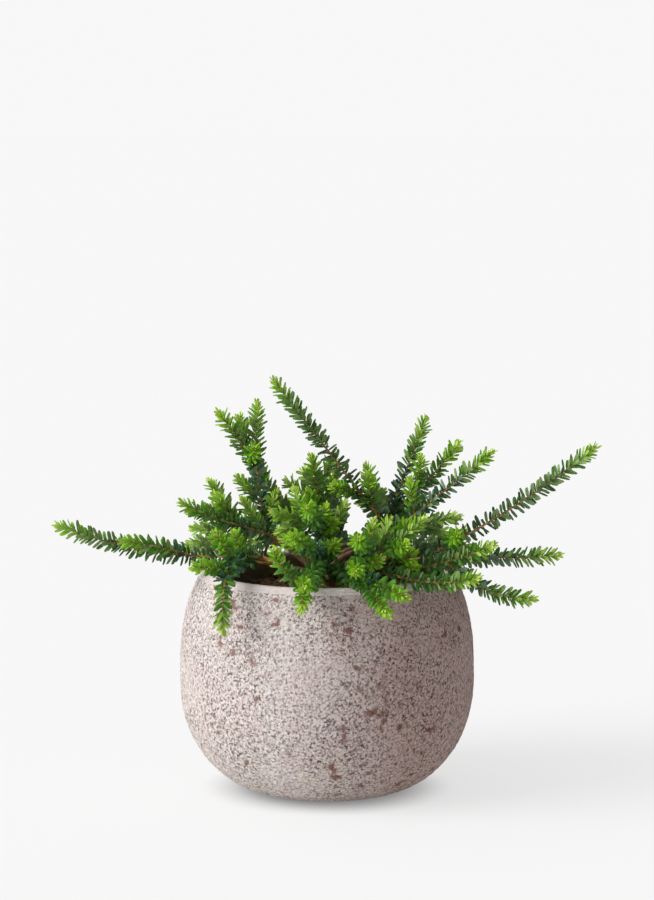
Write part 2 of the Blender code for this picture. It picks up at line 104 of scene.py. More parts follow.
def roughen(piece, pattern, sizeMm, depthMm, group="", middle=0.5):
    # relief of a real grain size and depth, pushed along the normals
    texture = bpy.data.textures.new(piece.name + "_" + pattern.lower(), pattern)
    texture.noise_scale = sizeMm * mm
    modifier = piece.modifiers.new("relief", "DISPLACE")
    modifier.texture = texture
    modifier.texture_coords = "LOCAL"
    modifier.strength = depthMm * mm
    modifier.mid_level = middle
    modifier.vertex_group = group


def shareBetween(value, low, high):
    # 0 up to low, 1 from high on, and straight in between
    return min(max((value - low) / (high - low), 0.0), 1.0)


def weighByHeight(piece, name, weightAt):
    # a vertex group with a weight for each vertex, from its height in mm
    group = piece.vertex_groups.new(name=name)
    for vertex in piece.data.vertices:
        group.add([vertex.index], weightAt(vertex.co.z / mm), "REPLACE")


def placed(piece, material, replaced=()):
    piece.data.materials.clear()
    piece.data.materials.append(material)
    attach(piece, "root")
    if replaced:
        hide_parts(*replaced)


def joinedMesh(name, parts):
    # one mesh from arrays: each part is its points and its triangles
    points = []
    faces = []
    count = 0
    for partPoints, partFaces in parts:
        points.append(partPoints)
        faces.append(partFaces + count)
        count += len(partPoints)
    mesh = bpy.data.meshes.new(name)
    mesh.from_pydata(np.concatenate(points), [], np.concatenate(faces))
    mesh.update()
    piece = bpy.data.objects.new(name, mesh)
    bpy.context.scene.collection.objects.link(piece)
    return piece


def trianglesOf(piece):
    # points and triangles of a small modelled shape, which is then removed
    mesh = piece.data
    mesh.calc_loop_triangles()
    points = np.array([vertex.co[:] for vertex in mesh.vertices])
    faces = np.array([triangle.vertices[:] for triangle in mesh.loop_triangles])
    bpy.data.objects.remove(piece, do_unlink=True)
    return points, faces


def copiesOf(shape, matrices):
    points, faces = shape
    turned = np.array([[row[:] for row in matrix] for matrix in matrices])
    grown = np.concatenate([points, np.ones((len(points), 1))], axis=1)
    spread = np.einsum("nij,pj->npi", turned, grown)[:, :, :3].reshape(-1, 3)
    steps = np.arange(len(matrices))[:, None, None] * len(points)
    return spread, (faces[None, :, :] + steps).reshape(-1, 3)


# Materials

def hexColour(code):
    # sRGB hex to linear red, green, blue and alpha
    parts = [int(code[i:i + 2], 16) / 255 for i in (1, 3, 5)]
    return [c / 12.92 if c <= 0.04045 else ((c + 0.055) / 1.055) ** 2.4 for c in parts] + [1.0]


def perMetre(sizeMm):
    return 1 / (sizeMm * mm)


def addNode(tree, kind, values=None, links=None, stops=(), **settings):
    # one node with its settings, the plain values of its sockets and what feeds them, and on a
    # ramp its stops: place and grey level or hex colour
    node = tree.nodes.new("ShaderNode" + kind)
    for key, value in settings.items():
        setattr(node, key, value)
    for key, value in (values or {}).items():
        node.inputs[key].default_value = value
    for key, source in (links or {}).items():
        tree.links.new(source, node.inputs[key])
    if stops:
        elements = node.color_ramp.elements
        while len(elements) < len(stops):
            elements.new(0.5)
        for element, (at, tone) in zip(elements, stops):
            element.position = at
            element.color = hexColour(tone) if isinstance(tone, str) else (tone, tone, tone, 1)
    return node


def newMaterial(name, roughness, specular):
    material = bpy.data.materials.new(name)
    material.use_nodes = True
    tree = material.node_tree
    shader = tree.nodes["Principled BSDF"]
    shader.inputs["Roughness"].default_value = roughness
    shader.inputs["Specular IOR Level"].default_value = specular
    place = addNode(tree, "TexCoord").outputs["Object"]
    return material, tree, shader, place


def mottled(tree, place, sizeMm, detail, roughness, stops):
    # a cloudy pattern whose patches have a real size
    cloud = addNode(
        tree, "TexNoise", {"Scale": perMetre(sizeMm), "Detail": detail, "Roughness": roughness},
        {"Vector": place})
    ramp = addNode(tree, "ValToRGB", links={"Fac": cloud.outputs["Fac"]}, stops=stops)
    return ramp.outputs["Color"]


def fineRelief(tree, shader, place, grains):
    # bumps too small for the mesh: size in mm, detail, roughness and depth in mm of each
    under = {}
    for sizeMm, detail, roughness, depthMm in grains:
        grain = addNode(
            tree, "TexNoise",
            {"Scale": perMetre(sizeMm), "Detail": detail, "Roughness": roughness},
            {"Vector": place})
        bump = addNode(
            tree, "Bump", {"Distance": depthMm * mm}, {"Height": grain.outputs["Fac"], **under})
        under = {"Normal": bump.outputs["Normal"]}
    tree.links.new(bump.outputs["Normal"], shader.inputs["Normal"])


def mottledMaterial(name, roughness, specular, mottle, grains):
    material, tree, shader, place = newMaterial(name, roughness, specular)
    tree.links.new(mottled(tree, place, *mottle), shader.inputs["Base Color"])
    fineRelief(tree, shader, place, grains)
    return material


# Pot

pot = dict(
    height=203, radius=135, bellyHeight=97, footRadius=55, rimRadius=114.5, bellyPower=1.95,
    shoulderPower=3.1, wall=8, floor=12, sides=96, soilLevel=178)
# rings of the profile: how the foot, the belly, the lip's groove, the rim and the inside are drawn
potRings = dict(
    footInsets=(6, 1), footEdge=0.3, bellyTurns=range(7, 91, 6), shoulderCount=11, lipHeight=6.0,
    grooveDepth=1.0, grooveRise=0.2, grooveHalf=1.5, outerRim=((0.2, 2.6), (-0.5, 0.8), (-2.0, 0)),
    innerRim=((2.0, 0), (0.5, 0.8), (0, 2.6)), inside=(195, 188, 181, 174, 160, 130, 90, 50, 28),
    floorInset=22)
# relief of the wall in mm: what the potter's hand left, the grain of the clay and its open pits,
# with the heights between which each fades in, and how the lip stays smoother
potRelief = dict(
    handMm=55, handDepth=1.2, handFrom=(1.0, 12.0), grainMm=3.4, grainDepth=1.3, pitMm=5.0,
    pitDepth=0.6, pitLevel=0.9, grainFrom=(1.0, 9.0), lipFade=2.0, lipRoughness=0.12)
# two dark tones here are painted shade in the wall's pits and hollows, and one is painted shade
# multiplied in towards the right side
potColours = dict(
    pink="#E6D3CF", grey="#EBE2DE", cream="#F0E5D4", pitShade="#544846", hollowShade="#9C8B87",
    fleck="#855547", grain="#FCF7F3", lip="#EDE4E0", rightShade="#D2C2BE", inside="#B5A595",
    insideDark="#8E7F72")
# each pattern of the wall: size in mm, detail, roughness and stops. Grog is 1 mm or less in the
# real clay, and its grains, and the painted shade of its hollows and pits, are drawn twice as
# coarse so that they show.
potPatterns = dict(
    clouds=(42, 4, 0.6, [(0.36, potColours["pink"]), (0.64, potColours["grey"])]),
    slip=(26, 5, 0.65, [(0.45, 0.0), (0.68, 1.0)]),
    patch=(55, 3, 0.5, [(0.40, 0.7), (0.56, 1.0)]),
    hollowShadeMask=(2.5, 4, 0.65, [(0.41, 1.0), (0.53, 0.0)]),
    grain=(2.0, 3, 0.6, [(0.52, 0.0), (0.63, 0.9)]),
    pitShadeMask=(2.6, 3, 0.65, [(0.38, 0.95), (0.45, 0.0)]),
    flecks=(10, 4, 0.7, [(0.57, 0.0), (0.61, 0.85)]),
    cluster=(48, 2, 0.5, [(0.5, 0.0), (0.57, 1.0)]),
    lip=(5, 3, 0.6, [(0.3, potColours["pink"]), (0.6, potColours["lip"])]))
# where the slip ends and starts by height, where the painted shade of the right side starts and is
# full across, and the heights of the lip's lower edge and of the inner wall, all in mm; how much
# the slip is drawn out down the wall, and how much of the wall's thickness belongs to its outer
# face
potPlaces = dict(
    slip=(115, 20), rightShade=(-40, 70), lip=(196.8, 198.2), inside=(8, 196), slipStretch=0.45,
    outerShare=0.6)


def potRadius(z):
    if z < pot["bellyHeight"]:
        down = 1 - max(z, 0.0) / pot["bellyHeight"]
        grown = (1 - down ** pot["bellyPower"]) ** (1 / pot["bellyPower"])
        return pot["footRadius"] + (pot["radius"] - pot["footRadius"]) * grown
    up = (z - pot["bellyHeight"]) / (pot["height"] - pot["bellyHeight"])
    return pot["radius"] - (pot["radius"] - pot["rimRadius"]) * up ** pot["shoulderPower"]


def wallRadius(z):
    rise = min(abs(potRadius(z + 0.5) - potRadius(z - 0.5)), 1.0)
    return potRadius(z) - pot["wall"] * math.sqrt(1 + rise ** 2)


def stonewareMaterial():
    # Unglazed grogged stoneware, thrown and wiped rough: matt, pinkish grey, with open pits and
    # hollows painted dark as shade, pale grog, a few iron flecks and cream slip low on the belly,
    # and painted shade that darkens it towards its right side, away from the light.
    material, tree, shader, place = newMaterial("stoneware_rough", 0.92, 0.25)
    axes = addNode(tree, "SeparateXYZ", links={"Vector": place})
    shares = {}
    for name, axis in (("slip", "Z"), ("rightShade", "X"), ("lip", "Z")):
        low, high = potPlaces[name]
        shares[name] = addNode(
            tree, "MapRange", {"From Min": low * mm, "From Max": high * mm},
            {"Value": axes.outputs[axis]}).outputs["Result"]
    stretched = addNode(
        tree, "Mapping", {"Scale": (1.0, 1.0, potPlaces["slipStretch"])}, {"Vector": place})
    patch = mottled(tree, place, *potPatterns["patch"])
    cluster = mottled(tree, place, *potPatterns["cluster"])
    tone = mottled(tree, place, *potPatterns["clouds"])
    # two of these layers paint shade into the wall's hollows and pits as dark tones
    layers = (
        ("slip", shares["slip"], "cream", stretched.outputs["Vector"]),
        ("hollowShadeMask", patch, "hollowShade", place),
        ("grain", None, "grain", place),
        ("pitShadeMask", patch, "pitShade", place),
        ("flecks", cluster, "fleck", place))
    for name, limit, colour, coordinates in layers:
        share = mottled(tree, coordinates, *potPatterns[name])
        if limit is not None:
            share = addNode(
                tree, "MixRGB", {"Fac": 1.0}, {"Color1": share, "Color2": limit},
                blend_type="MULTIPLY").outputs["Color"]
        tone = addNode(
            tree, "MixRGB", {"Color2": hexColour(potColours[colour])},
            {"Fac": share, "Color1": tone}).outputs["Color"]
    # painted shade: the pot grows darker towards its right side, away from the light
    tone = addNode(
        tree, "MixRGB", {"Color2": hexColour(potColours["rightShade"])},
        {"Fac": shares["rightShade"], "Color1": tone}, blend_type="MULTIPLY").outputs["Color"]
    lip = mottled(tree, place, *potPatterns["lip"])
    tone = addNode(
        tree, "MixRGB", links={"Fac": shares["lip"], "Color1": tone, "Color2": lip})
    tree.links.new(tone.outputs["Color"], shader.inputs["Base Color"])
    fineRelief(tree, shader, place, [(3.2, 4, 0.7, 3.0), (1.5, 4, 0.75, 1.2)])
    return material


def insideMaterial():
    # The same clay unwiped inside the mouth: browner and darker than the outside
    tones = [(0.3, potColours["insideDark"]), (0.7, potColours["inside"])]
    return mottledMaterial(
        "stoneware_inside", 0.95, 0.2, (15, 4, 0.6, tones), [(3, 4, 0.7, 0.8)])


def potProfile():
    top, rim = pot["height"], pot["rimRadius"]
    lipFoot = top - potRings["lipHeight"]
    shoulderTop = lipFoot - potRings["grooveHalf"]
    belly = [pot["bellyHeight"] * (1 - math.cos(math.radians(a))) for a in potRings["bellyTurns"]]
    count = potRings["shoulderCount"]
    shoulder = [
        pot["bellyHeight"] + (shoulderTop - pot["bellyHeight"]) * i / count
        for i in range(1, count + 1)]
    profile = [(pot["footRadius"] - inset, 0) for inset in potRings["footInsets"]]
    profile += [(pot["footRadius"], potRings["footEdge"])]
    profile += [(potRadius(z), z) for z in belly + shoulder]
    profile += [(potRadius(lipFoot) - potRings["grooveDepth"], lipFoot + potRings["grooveRise"])]
    lipStart = lipFoot + potRings["grooveHalf"]
    profile += [(potRadius(lipStart), lipStart)]
    profile += [(rim + out, top - down) for out, down in potRings["outerRim"]]
    profile += [(rim - pot["wall"] + out, top - down) for out, down in potRings["innerRim"]]
    profile += [(wallRadius(z), z) for z in potRings["inside"]]
    profile += [(wallRadius(potRings["inside"][-1]) - potRings["floorInset"], pot["floor"])]
    return profile


def isInside(centre):
    # a face of the inner wall or floor, below the lip
    x, y, z = centre
    low, high = potPlaces["inside"]
    if not low < z / mm < high:
        return False
    outerFace = pot["wall"] * potPlaces["outerShare"]
    return math.hypot(x, y) / mm < potRadius(z / mm) - outerFace


def makePot():
    lipFoot = pot["height"] - potRings["lipHeight"]

    def aboveFoot(z):
        return shareBetween(z, *potRelief["handFrom"])

    def roughWall(z):
        lip = max(shareBetween(lipFoot - z, 0, potRelief["lipFade"]), potRelief["lipRoughness"])
        return shareBetween(z, *potRelief["grainFrom"]) * lip

    piece = turnedPiece("stoneware_pot", potProfile(), pot["sides"])
    smoothOut(piece, 2)
    applyAll(piece)
    weighByHeight(piece, "above_foot", aboveFoot)
    weighByHeight(piece, "rough_wall", roughWall)
    roughen(piece, "CLOUDS", potRelief["handMm"], potRelief["handDepth"], "above_foot")
    roughen(piece, "CLOUDS", potRelief["grainMm"], potRelief["grainDepth"], "rough_wall")
    roughen(
        piece, "VORONOI", potRelief["pitMm"], potRelief["pitDepth"], "rough_wall",
        potRelief["pitLevel"])
    applyAll(piece)
    shadeByAngle(piece, 60)
    placed(piece, stonewareMaterial(), ["pot"])
    piece.data.materials.append(insideMaterial())
    for face in piece.data.polygons:
        face.material_index = 1 if isInside(face.center) else 0


makePot()
print("pot done")


# Potting mix

soil = dict(
    sides=64, clear=0.8, lowRing=28, rings=(90, 140, 170), floorInset=26, floorGap=0.5,
    edge=(2, 0.5), topRings=range(96, 5, -6), humpMm=11, humpDepth=5.0, humpLevel=0.42,
    crumbMm=3.0, crumbDepth=1.6, edgeWidth=3, edgeShare=0.4)
crumbs = dict(
    count=900, sizes=(1.2, 3.4), lengths=(0.8, 2.0), thickness=0.6, tilt=0.5, spin=7, fromWall=4,
    lift=2)


def soilMaterial():
    # Damp peat and composted bark: nearly black in the gaps, brown where it has dried
    tones = [(0.32, "#3A2D20"), (0.5, "#6B523A"), (0.7, "#967A58")]
    return mottledMaterial("potting_mix", 0.95, 0.2, (6, 5, 0.7, tones), [(1.4, 4, 0.7, 0.9)])


def soilRadius(z):
    # the soil's corners stay clear of the wall
    return wallRadius(z) * math.cos(math.pi / pot["sides"]) - soil["clear"]


def makeSoil(finish):
    low, level = soil["lowRing"], pot["soilLevel"]
    edge = soilRadius(level)
    profile = [(soilRadius(low) - soil["floorInset"], pot["floor"] + soil["floorGap"])]
    profile += [(soilRadius(low), low + 1)]
    profile += [(soilRadius(z), z) for z in soil["rings"]]
    profile += [(edge, level - soil["edge"][1]), (edge - soil["edge"][0], level)]
    profile += [(radius, level) for radius in soil["topRings"]]
    piece = turnedPiece("potting_mix", profile, soil["sides"])
    smoothOut(piece, 2)
    applyAll(piece)
    group = piece.vertex_groups.new(name="top")
    for vertex in piece.data.vertices:
        inner = math.hypot(vertex.co.x, vertex.co.y) / mm < edge - soil["edgeWidth"]
        if vertex.co.z / mm > level - 1:
            group.add([vertex.index], 1.0 if inner else soil["edgeShare"], "REPLACE")
    roughen(piece, "CLOUDS", soil["humpMm"], soil["humpDepth"], "top", soil["humpLevel"])
    roughen(piece, "CLOUDS", soil["crumbMm"], soil["crumbDepth"], "top")
    applyAll(piece)
    shadeByAngle(piece, 60)
    placed(piece, finish, ["soil"])


def makeCrumbs(finish):
    deselectAll()
    bpy.ops.mesh.primitive_ico_sphere_add(subdivisions=1, radius=mm)
    shape = trianglesOf(bpy.context.active_object)
    level = pot["soilLevel"]
    matrices = []
    for _ in range(crumbs["count"]):
        out = (soilRadius(level) - crumbs["fromWall"]) * math.sqrt(rng.random())
        turn = rng.uniform(0, 2 * math.pi)
        rise = rng.uniform(0, crumbs["lift"])
        at = Vector((out * math.cos(turn), out * math.sin(turn), level + rise))
        size = rng.uniform(*crumbs["sizes"])
        length = size * rng.uniform(*crumbs["lengths"])
        scale = Matrix.Diagonal((length, size, size * crumbs["thickness"], 1))
        tilt = Matrix.Rotation(rng.uniform(-crumbs["tilt"], crumbs["tilt"]), 4, "X")
        spin = Matrix.Rotation(turn * crumbs["spin"], 4, "Z")
        matrices.append(Matrix.Translation(at * mm) @ tilt @ spin @ scale)
    placed(joinedMesh("bark_crumbs", [copiesOf(shape, matrices)]), finish)


soilFinish = soilMaterial()
makeSoil(soilFinish)
makeCrumbs(soilFinish)
print("potting mix done")


# Limbs

# the limbs are worked out as the solids' are: in points smoothMm apart, with the first
# boughSteps of limbSteps parts as bough, and leaving the crown at limbReach of their length
plant = dict(
    crownRadius=12.5, crownHeight=197, rootDepth=1.5, limbSteps=6, boughSteps=3, limbReach=0.42,
    smoothMm=4.0, bareShare=0.45, sideBare=4, boughRadii=(2.6, 1.9), leaderRadii=(1.6, 0.6),
    sideRadii=(1.2, 0.55), barkMm=2.2, barkDepth=0.5, twigMm=1.4, twigDepth=0.16)
# finer twigs: shares of a shoot where they start, within reach of the plant's middle, and the
# room that each keeps from its own mass's limbs, from the other masses' and from the pot
fineTwigs = dict(
    radii=(0.85, 0.5), length=(24, 38), angle=(34, 58), shares=(0.2, 0.34), shareJitter=0.05,
    tries=10, crowd=13.0, room=4.0, reach=92, bare=3, sag=0.06, tipClear=4, middleClear=3,
    middle=0.55)
# the stem: radius and height above the soil of its flared foot, then turns round its knobbly crown
stem = dict(
    depth=2, foot=((13.5, 0), (13.2, 2.6), (11.0, 5), (9.6, 8.5)), sides=24,
    crownTurns=(-40, -20, 0, 20, 40, 60, 78), reliefs=((7, 1.6), (2, 0.8)))

# start: where a mass's stem comes to the pot's mouth, tip: the end of its leader, bow: how far
# its middle stands off the straight line, root: where its bough leaves the crown, in degrees
# round Z and above level, sides: share of the leader where each starts, its tip and its bow
masses = {
    "far_left": dict(
        start=(-82, -30, 219), tip=(-242, -30, 247), bow=(0, 0, -9), root=(-168, 0),
        sides=[(0.25, (-182, -54, 236), (0, 0, 2))]),
    "left": dict(
        start=(-66, -8, 240), tip=(-130, -25, 266), bow=(0, 0, -2), root=(178, 28),
        sides=[(0.2, (-106, 10, 281), (0, 0, 0)), (0.3, (-122, 8, 239), (0, 0, -2))]),
    "tall_left": dict(
        start=(-56, 12, 238), tip=(-64, 15, 352), bow=(-4, 0, 0), root=(165, 56),
        sides=[(0.46, (-97, -5, 345), (4, 0, -3))]),
    "hanging_left": dict(
        start=(-79, -62, 219), tip=(-91, -125, 169), bow=(-4, -13, 16), root=(-140, 14),
        sides=[(0.35, (-115, -118, 223), (0, 0, 1)), (0.12, (-97, -105, 249), (0, 0, 0))]),
    "front_left": dict(
        start=(-4, -60, 215), tip=(-22, -150, 193), bow=(0, -3, 12), root=(-114, 0),
        sides=[(0.6, (-20, -172, 215), (0, 0, 0)), (0.7, (-45, -165, 244), (-4, 0, -3))]),
    "front": dict(
        start=(0, -62, 228), tip=(-30, -130, 252), bow=(0, 0, -3), root=(-106, 30),
        sides=[]),
    "centre": dict(
        start=(-5, -25, 240), tip=(-18, -118, 275), bow=(0, 0, 2), root=(-95, 60),
        sides=[(0.25, (-48, -52, 262), (0, 0, 0))]),
    "centre_up": dict(
        start=(-2, 24, 238), tip=(-14, 15, 303), bow=(0, 2, 0), root=(94, 84),
        sides=[
            (0.05, (-62, 40, 292), (-6, 0, -13)),
            (0.3, (-21, 60, 285), (0, 0, 2)),
            (0.15, (11, 78, 268), (0, 0, 2))]),
    "tall_centre": dict(
        start=(55, 8, 240), tip=(-48, 0, 375), bow=(0, 0, 0), root=(-12, 56),
        sides=[(0.08, (49, 56, 266), (0, 0, 2))]),
    "tall_right": dict(
        start=(54, 32, 238), tip=(91, 50, 334), bow=(0, 0, 0), root=(34, 56),
        sides=[(0.1, (120, 20, 315), (0, 0, -5))]),
    "right_up": dict(
        start=(68, -8, 244), tip=(148, -12, 310), bow=(0, 0, 0), root=(-14, 28),
        sides=[]),
    "far_right": dict(
        start=(94, 0, 216), tip=(246, 25, 311), bow=(0, 0, -6), root=(2, 0),
        sides=[(0.12, (116, -42, 240), (0, 0, 0))]),
    "right": dict(
        start=(88, 32, 212), tip=(212, 20, 212), bow=(0, 0, -3), root=(18, 26),
        sides=[(0.2, (128, 62, 228), (0, 0, 0))]),
    "right_front": dict(
        start=(74, -50, 210), tip=(146, -88, 237), bow=(0, -2, -2), root=(-46, 26),
        sides=[]),
    "right_low": dict(
        start=(115, -46, 209), tip=(183, -62, 185), bow=(0, 0, -7), root=(-29, -4),
        sides=[]),
    "front_right_low": dict(
        start=(62, -88, 210), tip=(130, -130, 215), bow=(0, -3, -4), root=(-59, -2),
        sides=[]),
    "front_mid": dict(
        start=(32, -72, 219), tip=(41, -85, 257), bow=(0, -3, 0), root=(-74, 27),
        sides=[
            (0.1, (85, -75, 259), (0, 0, -4)),
            (0.05, (24, -140, 223), (0, 0, 1)),
            (0.35, (26, -138, 250), (0, 0, 0))]),
    "front_right": dict(
        start=(12, -80, 213), tip=(51, -168, 191), bow=(0, -5, 8), root=(-86, -1),
        sides=[(0.42, (66, -172, 206), (0, 0, 2))]),
    "back_left_low": dict(
        start=(-72, 42, 214), tip=(-124, 128, 182), bow=(-6, 6, 14), root=(152, 0),
        sides=[(0.42, (-136, 88, 206), (0, 0, 4))]),
    "back_left": dict(
        start=(-46, 56, 222), tip=(-90, 150, 216), bow=(0, 0, 8), root=(130, 28),
        sides=[(0.35, (-98, 94, 236), (0, 0, 2))]),
    "back_mid_left": dict(
        start=(-24, 72, 216), tip=(-38, 198, 196), bow=(0, 4, 16), root=(115, -2),
        sides=[(0.45, (-66, 176, 226), (0, 0, 2))]),
    "back": dict(
        start=(4, 66, 224), tip=(14, 176, 228), bow=(0, 0, 6), root=(94, 28),
        sides=[(0.4, (-14, 148, 240), (0, 0, 0))]),
    "back_hanging": dict(
        start=(14, 84, 213), tip=(8, 166, 148), bow=(0, 18, 20), root=(82, -4),
        sides=[(0.5, (-26, 170, 182), (0, 0, 4))]),
    "back_mid_right": dict(
        start=(38, 66, 217), tip=(62, 190, 198), bow=(0, 4, 15), root=(62, 26),
        sides=[(0.45, (88, 164, 226), (0, 0, 2))]),
    "back_right": dict(
        start=(56, 56, 222), tip=(112, 140, 214), bow=(2, 2, 8), root=(80, 56),
        sides=[(0.4, (124, 100, 236), (0, 0, 2))]),
    "back_right_low": dict(
        start=(76, 52, 213), tip=(126, 126, 176), bow=(8, 8, 14), root=(40, -2),
        sides=[(0.45, (148, 96, 200), (0, 0, 4))]),
}
foliageNodes = [name + "_foliage" for name in masses]
boughNodes = [name + "_bough" for name in masses]


def bowed(start, end, bow):
    count = max(3, round((end - start).length / plant["smoothMm"]))
    return [
        start.lerp(end, i / count) + bow * (4 * i / count * (1 - i / count))
        for i in range(count + 1)]


def limbFrom(out, to, way):
    # from the crown of the main stem, leaving along out, to arrive at to along way
    start = Vector((0, 0, plant["crownHeight"])) + out * (plant["crownRadius"] - plant["rootDepth"])
    reach = (to - start).length * plant["limbReach"]
    controls = (start, start + out * reach, to - way * reach, to)
    count = max(6, round((to - start).length / plant["smoothMm"]))
    points = []
    for i in range(count + 1):
        t = i / count
        weights = ((1 - t) ** 3, 3 * t * (1 - t) ** 2, 3 * t * t * (1 - t), t ** 3)
        points.append(sum((c * w for c, w in zip(controls, weights)), Vector()))
    return points


def lengthsAlong(points):
    # distance of each point from the first, along the limb
    found = [0.0]
    for a, b in zip(points, points[1:]):
        found.append(found[-1] + (b - a).length)
    return found


def pointAt(shoot, distance):
    # the point at a distance from a shoot's root, and the way the shoot runs there
    along = shoot["along"]
    distance = min(max(distance, 0.0), along[-1])
    i = int(np.searchsorted(along, distance)) - 1
    i = min(max(i, 0), len(along) - 2)
    share = (distance - along[i]) / (along[i + 1] - along[i])
    a, b = shoot["points"][i], shoot["points"][i + 1]
    return a.lerp(b, share), (b - a).normalized()


def newShoot(points, radii, bare):
    along = lengthsAlong(points)
    return dict(points=points, radii=radii, along=along, length=along[-1], bare=bare)


def squareTo(way):
    # a direction square to way, from whichever axis is well off it
    aid = Vector((0, 0, 1)) if abs(way.z) < 0.8 else Vector((1, 0, 0))
    return way.cross(aid).normalized()


def outwardAt(turn, way):
    # square to way, turned round it by degrees
    return Matrix.Rotation(math.radians(turn), 3, way) @ squareTo(way)


def growLimbs(mass):
    start, tip, bow = (Vector(mass[key]) for key in ("start", "tip", "bow"))
    outer = bowed(start, tip, bow)
    turn, rise = (math.radians(angle) for angle in mass["root"])
    flat = math.cos(rise)
    out = Vector((math.cos(turn) * flat, math.sin(turn) * flat, math.sin(rise)))
    limb = limbFrom(out, start, (outer[1] - outer[0]).normalized())
    split = len(limb) * plant["boughSteps"] // plant["limbSteps"]
    mass["bough"] = limb[:split + 1]
    inner = limb[split:-1]
    bare = lengthsAlong(inner)[-1] * plant["bareShare"]
    mass["shoots"] = [newShoot(inner + outer, plant["leaderRadii"], bare)]
    outerShoot = newShoot(outer, plant["leaderRadii"], 0)
    for share, sideTip, sideBow in mass["sides"]:
        root = pointAt(outerShoot, share * outerShoot["length"])[0]
        side = bowed(root, Vector(sideTip), Vector(sideBow))
        mass["shoots"].append(newShoot(side, plant["sideRadii"], plant["sideBare"]))


def nearestTree(shoots):
    points = [p for shoot in shoots for p in shoot["points"]]
    tree = KDTree(len(points))
    for i, point in enumerate(points):
        tree.insert(point, i)
    tree.balance()
    return tree


def clearOfPot(point, room):
    # above the rim, outside the wall, or in the mouth and clear of the soil and the crown
    across = math.hypot(point.x, point.y)
    if point.z > pot["height"] + room or across > potRadius(point.z) + room:
        return True
    if across > wallRadius(point.z) - room or point.z < pot["soilLevel"] + 2:
        return False
    crown = Vector((0, 0, plant["crownHeight"]))
    return (point - crown).length > plant["crownRadius"] + room


def growFineTwigs(mass, others):
    # finer twigs by golden-angle turns, each within its own mass's space
    turn = rng.uniform(0, 360)
    fine = []
    for shoot in list(mass["shoots"]):
        for share in fineTwigs["shares"]:
            share += rng.uniform(-fineTwigs["shareJitter"], fineTwigs["shareJitter"])
            root, way = pointAt(shoot, share * shoot["length"])
            if math.hypot(root.x, root.y) > fineTwigs["reach"]:
                continue
            own = nearestTree(mass["shoots"] + fine)
            for _ in range(fineTwigs["tries"]):
                turn += goldenTurn
                angle = math.radians(rng.uniform(*fineTwigs["angle"]))
                length = rng.uniform(*fineTwigs["length"])
                outward = outwardAt(turn, way)
                end = root + (way * math.cos(angle) + outward * math.sin(angle)) * length
                middle = root.lerp(end, fineTwigs["middle"])
                if not clearOfPot(end, fineTwigs["tipClear"]):
                    continue
                if not clearOfPot(middle, fineTwigs["middleClear"]):
                    continue
                crowding = own.find(end)[2]
                if crowding < fineTwigs["crowd"]:
                    continue
                if others.find(end)[2] < crowding + fineTwigs["room"]:
                    continue
                twig = bowed(root, end, Vector((0, 0, -fineTwigs["sag"] * length)))
                fine.append(newShoot(twig, fineTwigs["radii"], fineTwigs["bare"]))
                break
    mass["shoots"] += fine


def limbsMesh(name, limbs, resolution):
    # round tapering limbs along smooth lines, as one mesh with closed ends
    curve = bpy.data.curves.new(name, "CURVE")
    curve.dimensions = "3D"
    curve.bevel_depth = mm
    curve.bevel_resolution = resolution
    curve.use_fill_caps = True
    for points, (first, last) in limbs:
        spline = curve.splines.new("POLY")
        spline.points.add(len(points) - 1)
        for i, (point, there) in enumerate(zip(points, spline.points)):
            there.co = (*(point * mm), 1)
            there.radius = first + (last - first) * i / (len(points) - 1)
    piece = bpy.data.objects.new(name, curve)
    bpy.context.scene.collection.objects.link(piece)
    pick(piece)
    bpy.ops.object.convert(target="MESH")
    piece = bpy.context.active_object
    piece.data.name = name
    return piece


def barkMaterial():
    # Woody stem with thin grey-brown bark, finely cracked
    tones = [(0.3, "#4A382C"), (0.52, "#7A6048"), (0.75, "#9B8266")]
    return mottledMaterial("bark_grey_brown", 0.85, 0.3, (3.5, 5, 0.7, tones), [(1.0, 4, 0.7, 0.5)])


def twigMaterial():
    # Young green-wood twigs: thin orange-brown skin, reddish in places
    tones = [(0.3, "#8A4F30"), (0.5, "#B5824A"), (0.7, "#C9A262")]
    return mottledMaterial("twig_orange_brown", 0.6, 0.4, (9, 3, 0.6, tones), [(0.8, 3, 0.7, 0.25)])


def makeStem(bark):
    soilTop = pot["soilLevel"] - stem["depth"]
    profile = [(radius, soilTop + rise) for radius, rise in stem["foot"]]
    for angle in stem["crownTurns"]:
        turn = math.radians(angle)
        across = plant["crownRadius"] * math.cos(turn)
        profile.append((across, plant["crownHeight"] + plant["crownRadius"] * math.sin(turn)))
    piece = turnedPiece("woody_stem", profile, stem["sides"])
    smoothOut(piece, 2)
    for sizeMm, depthMm in stem["reliefs"]:
        roughen(piece, "CLOUDS", sizeMm, depthMm)
    applyAll(piece)
    shadeByAngle(piece, 60)
    placed(piece, bark, ["main_stem"])


def makeBoughs(bark):
    limbs = [(mass["bough"], plant["boughRadii"]) for mass in masses.values()]
    piece = limbsMesh("bough_bark", limbs, 4)
    roughen(piece, "CLOUDS", plant["barkMm"], plant["barkDepth"])
    applyAll(piece)
    shadeByAngle(piece, 70)
    placed(piece, bark, boughNodes)


def makeTwigs():
    limbs = [(shoot["points"], shoot["radii"]) for shoot in allShoots]
    piece = limbsMesh("leafy_twigs", limbs, 1)
    roughen(piece, "CLOUDS", plant["twigMm"], plant["twigDepth"])
    applyAll(piece)
    shadeByAngle(piece, 70)
    placed(piece, twigMaterial(), foliageNodes)


